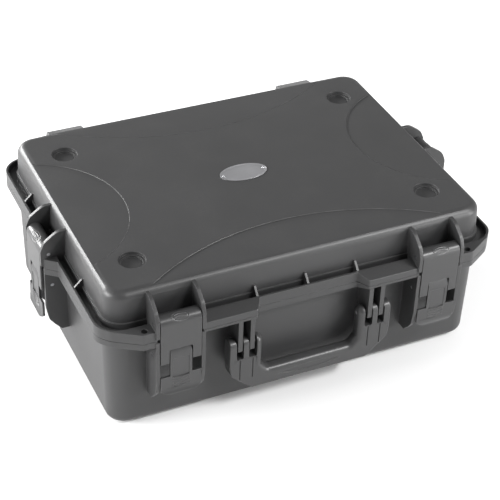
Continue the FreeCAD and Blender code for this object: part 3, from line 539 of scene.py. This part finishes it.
def addHood(name, middle):
    bpy.ops.object.select_all(action="DESELECT")
    bpy.ops.mesh.primitive_circle_add(vertices=len(hoodSet["profile"]), radius=1, fill_type="NGON")
    hood = bpy.context.object
    hood.name = name
    for vertex, (y, z) in zip(hood.data.vertices, hoodSet["profile"]):
        vertex.co = (middle - hoodSet["half"], y * mm, z * mm)
    editing(hood)
    bpy.ops.mesh.extrude_region_move(TRANSFORM_OT_translate={"value": (2 * hoodSet["half"], 0, 0)})
    bpy.ops.mesh.select_all(action="SELECT")
    bpy.ops.mesh.normals_make_consistent(inside=False)
    doneEditing()
    settle(hood)
    rounding = hood.modifiers.new("radius", "BEVEL")
    rounding.width = hoodSet["radius"]
    rounding.segments = 3
    rounding.limit_method = "ANGLE"
    rounding.angle_limit = math.radians(hoodSet["sharp"])
    applyAll(hood)
    only(hood)
    bpy.ops.object.shade_smooth_by_angle(angle=math.radians(smoothAngle))
    hood.data.materials.append(shellPlastic)
    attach(hood, bodyOf["lid_shell"])


for side, middle in zip(("left", "right"), hoodSet["places"]):
    addHood("hinge_hood_" + side, middle)
print("hinge hoods added")


# latches: plate with an oval thumb mark on its rolled top, and lever

thumbSet = {
    "halfWidth": 13.0 * mm,
    "halfHeight": 7.0 * mm,  # round the barrel
    "rise": 55,  # degrees above level, seen from the barrel's axis
    "radius": 11.0 * mm,  # barrel
    "rim": 0.3 * mm,
    "floor": 0.06 * mm,
    "ridge": 0.38 * mm,
    "ridges": (-2.6 * mm, 0.0, 2.6 * mm),
    "ridgeHalf": 0.8 * mm,
    "wave": 0.9 * mm,
    "wall": 1.2 * mm,
    "columns": 72,
    "rows": 44,
}
latchTurn = {"front_left": 0, "front_right": 0, "left": -90, "right": 90}


def step(value, low, high):
    share = min(max((value - low) / (high - low), 0.0), 1.0)
    return share * share * (3 - 2 * share)


def thumbHeight(u, v):
    # height of the mark above the barrel; u and v run from -1 to 1 over the oval
    reach = math.hypot(u, v)
    x, y = u * thumbSet["halfWidth"], v * thumbSet["halfHeight"]
    rim = thumbSet["rim"] * step(reach, 0.80, 0.88) * (1 - step(reach, 0.92, 1.0))
    edge = 2 * thumbSet["rim"] * step(reach, 0.94, 1.0)
    ridges = 0.0
    for middle in thumbSet["ridges"]:
        away = abs(y - middle - thumbSet["wave"] * math.cos(x / thumbSet["halfWidth"] * math.pi))
        half = thumbSet["ridgeHalf"]
        ridges += thumbSet["ridge"] * (1 - step(away, 0.25 * half, 1.2 * half))
    ridges *= 1 - step(reach, 0.62, 0.74)
    return thumbSet["floor"] + rim + ridges - edge


def thumbMark():
    bpy.ops.object.select_all(action="DESELECT")
    columns, rows = thumbSet["columns"], thumbSet["rows"]
    bpy.ops.mesh.primitive_grid_add(x_subdivisions=columns, y_subdivisions=rows, size=2)
    mark = bpy.context.object
    for vertex in mark.data.vertices:
        a, b = vertex.co.x, vertex.co.y
        u, v = a * math.sqrt(1 - b * b / 2), b * math.sqrt(1 - a * a / 2)  # square to disc
        out = thumbSet["radius"] + thumbHeight(u, v)
        angle = math.radians(thumbSet["rise"]) + v * thumbSet["halfHeight"] / thumbSet["radius"]
        vertex.co = (u * thumbSet["halfWidth"], -out * math.cos(angle), out * math.sin(angle))
    wall = mark.modifiers.new("wall", "SOLIDIFY")
    wall.thickness = thumbSet["wall"]
    wall.offset = -1
    applyAll(mark)
    return mark


def addLatch(side):
    turn = math.radians(latchTurn[side])
    plate = roundedMoulding("latch_plate_" + side, "latch_plate", "plate_" + side)
    low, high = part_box("latch_pin_" + side)
    mark = thumbMark()
    mark.location = (low + high) / 2
    mark.rotation_euler = (0, 0, turn)
    settle(mark)
    bpy.ops.object.select_all(action="DESELECT")
    mark.select_set(True)
    plate.select_set(True)
    bpy.context.view_layer.objects.active = plate
    bpy.ops.object.join()
    finishPiece(plate, latchPlastic, "latch_plate_" + side)
    lever = roundedMoulding("latch_lever_" + side, "latch_lever", "lever_" + side)
    finishPiece(lever, latchPlastic, "latch_lever_" + side)


for side in sides:
    addLatch(side)
print("latches made")


# soft parts

foamSet = {
    "foam_insert": {"voxel": 3.6, "smooth": 6},
    "foam_floor_pad": {"voxel": 5.0, "smooth": 4},
    "foam_lid": {"voxel": 3.6, "smooth": 4},
    "softness": 0.5,
}
crateSet = {"pitch": 34 * mm, "depth": 15 * mm, "border": 16 * mm, "skin": 3 * mm}
foamLook = {
    "cellScale": 900.0,
    "fineScale": 2300.0,
    "fineShare": 0.4,
    "cloudScale": 14.0,
    "pitEdge": (0.1, 0.7),
    # the dark tone of the pits is painted shade inside the foam's cells
    "pitShadeTone": (0.012, 0.012, 0.013, 1),
    "faceTone": (0.045, 0.045, 0.048, 1),
    "cloudTone": (0.03, 0.03, 0.032, 1),
    "rough": 0.95,
    "sheen": 0.25,
    "sheenRough": 0.6,
    "pitDepth": 0.8 * mm,
}


def foamBlock(node, name):
    piece = weldedCopy(node, name)
    remesh = piece.modifiers.new("cells", "REMESH")
    remesh.mode = "VOXEL"
    remesh.voxel_size = foamSet[node]["voxel"] * mm
    soften = piece.modifiers.new("soften", "SMOOTH")
    soften.iterations = foamSet[node]["smooth"]
    soften.factor = foamSet["softness"]
    applyAll(piece)
    return piece


def crateFace(piece):
    # the underside of the lid foam: rows of bumps, flat along its border
    low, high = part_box("foam_lid")
    wave = 2 * math.pi / crateSet["pitch"]
    for vertex in piece.data.vertices:
        if vertex.co.z > low.z + crateSet["skin"]:
            continue
        inner = min(vertex.co.x - low.x, high.x - vertex.co.x,
                    vertex.co.y - low.y, high.y - vertex.co.y)
        share = step(inner, crateSet["border"] * 0.5, crateSet["border"] * 1.5)
        bumps = 0.5 + 0.25 * (math.cos(wave * vertex.co.x) + math.cos(wave * vertex.co.y))
        vertex.co.z += crateSet["depth"] * (1 - bumps) * share


def foamMaterial():
    material, tree, shader = newMaterial("openCellFoam")
    links = tree.links
    objectPlace = addNode(tree, "ShaderNodeTexCoord").outputs["Object"]
    cells = addNode(tree, "ShaderNodeTexVoronoi", feature="F1", Scale=foamLook["cellScale"],
                    Randomness=1.0)
    links.new(objectPlace, cells.inputs["Vector"])
    fine = addNode(tree, "ShaderNodeTexVoronoi", feature="SMOOTH_F1", Scale=foamLook["fineScale"])
    links.new(objectPlace, fine.inputs["Vector"])
    cloud = addNode(tree, "ShaderNodeTexNoise", Scale=foamLook["cloudScale"], Detail=4.0)
    links.new(objectPlace, cloud.inputs["Vector"])
    pits = ramp(tree, cells.outputs["Distance"], *foamLook["pitEdge"])
    height = mathNode(tree, "MULTIPLY", fine.outputs["Distance"], foamLook["fineShare"])
    height = mathNode(tree, "ADD", pits, height)
    # the cell pits are painted darker than the faces: painted shade in the pits
    tone = mixColour(tree, pits, foamLook["pitShadeTone"], foamLook["faceTone"])
    tone = mixColour(tree, cloud.outputs["Fac"], tone, foamLook["cloudTone"])
    links.new(tone, shader.inputs["Base Color"])
    shader.inputs["Roughness"].default_value = foamLook["rough"]
    shader.inputs["Sheen Weight"].default_value = foamLook["sheen"]
    shader.inputs["Sheen Roughness"].default_value = foamLook["sheenRough"]
    bump(tree, shader, height, foamLook["pitDepth"])
    return material


foam = foamMaterial()
insert = foamBlock("foam_insert", "cut_foam")
pad = foamBlock("foam_floor_pad", "floor_foam")
crate = foamBlock("foam_lid", "crate_foam")
crateFace(crate)
for piece, node in ((insert, "foam_insert"), (pad, "foam_floor_pad"), (crate, "foam_lid")):
    finishPiece(piece, foam, node, smooth=180)
print("foam cut")


# nameplate, bare

badgeSet = {
    "rimWidth": 1.8 * mm,
    "fieldDrop": 0.4 * mm,
    "corners": 96,
    "edge": 0.25 * mm,
    "sharp": 30,  # degrees
}


def addNameplate():
    low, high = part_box("nameplate")
    middle, half = (low + high) / 2, (high - low) / 2
    bpy.ops.object.select_all(action="DESELECT")
    bpy.ops.mesh.primitive_circle_add(vertices=badgeSet["corners"], radius=1, fill_type="NGON",
                                      location=(middle.x, middle.y, low.z))
    badge = bpy.context.object
    badge.name = "name_plate"
    badge.scale = (half.x, half.y, 1)
    settle(badge)
    editing(badge)
    bpy.ops.mesh.extrude_region_move(TRANSFORM_OT_translate={"value": (0, 0, high.z - low.z)})
    bpy.ops.mesh.inset(thickness=badgeSet["rimWidth"])
    bpy.ops.mesh.inset(thickness=badgeSet["fieldDrop"])
    bpy.ops.transform.translate(value=(0, 0, -badgeSet["fieldDrop"]))
    bpy.ops.mesh.select_all(action="SELECT")
    bpy.ops.mesh.normals_make_consistent(inside=False)
    doneEditing()
    bevel = badge.modifiers.new("radius", "BEVEL")
    bevel.width = badgeSet["edge"]
    bevel.segments = 2
    bevel.limit_method = "ANGLE"
    bevel.angle_limit = math.radians(badgeSet["sharp"])
    applyAll(badge)
    return badge


metalSet = {
    # name: tone, roughness, stretch of the brush lines, scratch depth
    "badgeMetal": ((0.62, 0.62, 0.64), 0.34, (0.03, 1, 1), 0.02 * mm),
    "pinSteel": ((0.5, 0.5, 0.52), 0.28, (1, 1, 1), 0.01 * mm),
}
brushSet = {
    "lineScale": 1200.0,
    "cloudScale": 40.0,
    "darkest": 0.8,
    "cloudRough": 0.16,
    "lineRough": 0.1,
}


def brushedMetal(name):
    tone, rough, direction, scratch = metalSet[name]
    material, tree, shader = newMaterial(name, Metallic=1.0)
    links = tree.links
    objectPlace = addNode(tree, "ShaderNodeTexCoord").outputs["Object"]
    stretch = addNode(tree, "ShaderNodeMapping")
    stretch.inputs["Scale"].default_value = direction
    links.new(objectPlace, stretch.inputs["Vector"])
    lines = addNode(tree, "ShaderNodeTexNoise", Scale=brushSet["lineScale"], Detail=3.0, Roughness=0.6)
    links.new(stretch.outputs["Vector"], lines.inputs["Vector"])
    cloud = addNode(tree, "ShaderNodeTexNoise", Scale=brushSet["cloudScale"], Detail=3.0)
    links.new(objectPlace, cloud.inputs["Vector"])
    dark = tuple(brushSet["darkest"] * part for part in tone) + (1,)
    links.new(mixColour(tree, lines.outputs["Fac"], dark, tone + (1,)), shader.inputs["Base Color"])
    wander = mathNode(tree, "MULTIPLY_ADD", cloud.outputs["Fac"], brushSet["cloudRough"],
                      rough - brushSet["cloudRough"] / 2)
    wander = mathNode(tree, "MULTIPLY_ADD", lines.outputs["Fac"], brushSet["lineRough"], wander)
    links.new(wander, shader.inputs["Roughness"])
    bump(tree, shader, lines.outputs["Fac"], scratch)
    return material


badgeMetal = brushedMetal("badgeMetal")
pinSteel = brushedMetal("pinSteel")
finishPiece(addNameplate(), badgeMetal, "nameplate")


rubberLook = {
    "dark": (0.012, 0.012, 0.012, 1),
    "bloom": (0.03, 0.03, 0.03, 1),
    "fineScale": 1500.0,
    "bloomScale": 30.0,
    "rough": 0.6,
    "bloomRough": 0.2,
    "grain": 0.05 * mm,
}


def rubberMaterial():
    material, tree, shader = newMaterial("blackRubber")
    links = tree.links
    objectPlace = addNode(tree, "ShaderNodeTexCoord").outputs["Object"]
    fine = addNode(tree, "ShaderNodeTexNoise", Scale=rubberLook["fineScale"], Detail=2.0)
    links.new(objectPlace, fine.inputs["Vector"])
    bloom = addNode(tree, "ShaderNodeTexNoise", Scale=rubberLook["bloomScale"], Detail=4.0)
    links.new(objectPlace, bloom.inputs["Vector"])
    tone = mixColour(tree, bloom.outputs["Fac"], rubberLook["dark"], rubberLook["bloom"])
    links.new(tone, shader.inputs["Base Color"])
    rough = mathNode(tree, "MULTIPLY_ADD", bloom.outputs["Fac"], rubberLook["bloomRough"],
                     rubberLook["rough"])
    links.new(rough, shader.inputs["Roughness"])
    bump(tree, shader, fine.outputs["Fac"], rubberLook["grain"])
    return material


blackRubber = rubberMaterial()
finishOf = {
    "shell_plastic": shellPlastic,
    "latch_plastic": latchPlastic,
    "handle_plastic": handlePlastic,
    "pin_steel": pinSteel,
    "badge_metal": badgeMetal,
    "rubber": blackRubber,
    "foam": foam,
}
for name, node in nodes.items():
    node.data.materials.clear()
    node.data.materials.append(finishOf[slotOf[name]])
print("metal and rubber set")
